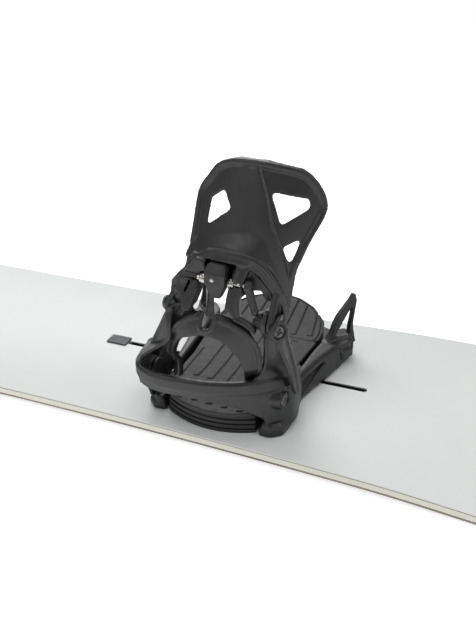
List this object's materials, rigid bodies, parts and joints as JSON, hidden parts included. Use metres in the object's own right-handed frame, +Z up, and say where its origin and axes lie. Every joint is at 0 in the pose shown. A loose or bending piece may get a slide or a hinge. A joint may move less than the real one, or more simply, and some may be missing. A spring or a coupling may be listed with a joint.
{
  "type": "snowboard with bindings",
  "caption": "Twin-tip snowboard with channel-mounted strapless step-in bindings: folding canted highback, sprung heel catch with release lever, heel hoop and toe hooks.",
  "frame": {"origin": "middle of the board, on the surface that it lies on", "axes": "+X along the board towards the nose, +Y towards the toe edge, +Z up"},
  "size_m": [1.55, 0.2972, 0.2674],
  "materials": {
    "topsheet": "satin pale grey-green",
    "base": "sintered running base",
    "edge_steel": "ground",
    "core_wood": "laminated",
    "sidewall": "satin beige",
    "channel": "black",
    "plug": "matte slate",
    "nylon": "moulded satin black",
    "footbed": "fine textured foam",
    "bumper": "layered",
    "screw_steel": "dark plated",
    "nickel": "nickel plated"
  },
  "bodies": {
    "board": {"base_sheet": "base", "steel_edge": "edge_steel", "wood_core": "core_wood", "sidewall_toe": "sidewall", "sidewall_heel": "sidewall", "tip_spacer_nose": "sidewall", "tip_spacer_tail": "sidewall", "topsheet": "topsheet", "channel_front": "channel", "channel_rear": "channel", "channel_plug_front": "plug", "channel_plug_rear": "plug", "front_baseplate": "nylon", "front_mounting_disc": "nylon", "front_disc_screw_inner": "screw_steel", "front_disc_screw_outer": "screw_steel", "front_channel_nut_inner": "screw_steel", "front_channel_nut_outer": "screw_steel", "front_footbed": "footbed", "front_toe_pad": "footbed", "front_heel_bumper": "bumper", "front_toe_hook_inner": "nylon", "front_toe_hook_outer": "nylon", "front_heel_hoop": "nylon", "front_heel_cup": "nylon", "front_hoop_screw_inner": "screw_steel", "front_hoop_screw_outer": "screw_steel", "front_pivot_screw_inner": "screw_steel", "rear_baseplate": "nylon", "rear_mounting_disc": "nylon", "rear_disc_screw_inner": "screw_steel", "rear_disc_screw_outer": "screw_steel", "rear_channel_nut_inner": "screw_steel", "rear_channel_nut_outer": "screw_steel", "rear_footbed": "footbed", "rear_toe_pad": "footbed", "rear_heel_bumper": "bumper", "rear_toe_hook_inner": "nylon", "rear_toe_hook_outer": "nylon", "rear_heel_hoop": "nylon", "rear_heel_cup": "nylon", "rear_hoop_screw_inner": "screw_steel", "rear_hoop_screw_outer": "screw_steel", "rear_pivot_screw_inner": "screw_steel"},
    "front_highback_body": {"front_highback": "nylon"},
    "front_catch_body": {"front_heel_catch": "nylon", "front_catch_shaft": "nickel", "front_link_arm": "nylon"},
    "front_lever_body": {"front_release_lever": "nylon", "front_lever_screw": "screw_steel", "front_release_cam": "nylon"},
    "rear_highback_body": {"rear_highback": "nylon"},
    "rear_catch_body": {"rear_heel_catch": "nylon", "rear_catch_shaft": "nickel", "rear_link_arm": "nylon"},
    "rear_lever_body": {"rear_release_lever": "nylon", "rear_lever_screw": "screw_steel", "rear_release_cam": "nylon"}
  },
  "joints": [
    {"name": "front_highback_fold", "type": "hinge", "parent": "board", "child": "front_highback_body", "pos_m": [0.25171, -0.10086, 0.1344], "axis": [-0.9986, 0.0523, 0], "range_deg": [0, 72]},
    {"name": "front_lever_pull", "type": "hinge", "parent": "front_highback_body", "child": "front_lever_body", "pos_m": [0.25171, -0.10086, 0.1344], "axis": [0.9986, -0.0523, 0], "range_deg": [0, 40], "stiffness_Nm_per_rad": 0.12, "springref_deg": -28.65},
    {"name": "front_catch_release", "type": "hinge", "parent": "front_highback_body", "child": "front_catch_body", "pos_m": [0.25156, -0.10386, 0.1674], "axis": [-0.9986, 0.0523, 0], "range_deg": [0, 20]},
    {"name": "rear_highback_fold", "type": "hinge", "parent": "board", "child": "rear_highback_body", "pos_m": [-0.25171, -0.10086, 0.1344], "axis": [-0.9986, -0.0523, 0], "range_deg": [0, 72]},
    {"name": "rear_lever_pull", "type": "hinge", "parent": "rear_highback_body", "child": "rear_lever_body", "pos_m": [-0.25171, -0.10086, 0.1344], "axis": [0.9986, 0.0523, 0], "range_deg": [0, 40], "stiffness_Nm_per_rad": 0.12, "springref_deg": -28.65},
    {"name": "rear_catch_release", "type": "hinge", "parent": "rear_highback_body", "child": "rear_catch_body", "pos_m": [-0.25156, -0.10386, 0.1674], "axis": [-0.9986, -0.0523, 0], "range_deg": [0, 20]}
  ],
  "couplings": [
    {"joint": "front_catch_release", "follows": "front_lever_pull", "ratio": 0.5},
    {"joint": "rear_catch_release", "follows": "rear_lever_pull", "ratio": 0.5}
  ]
}
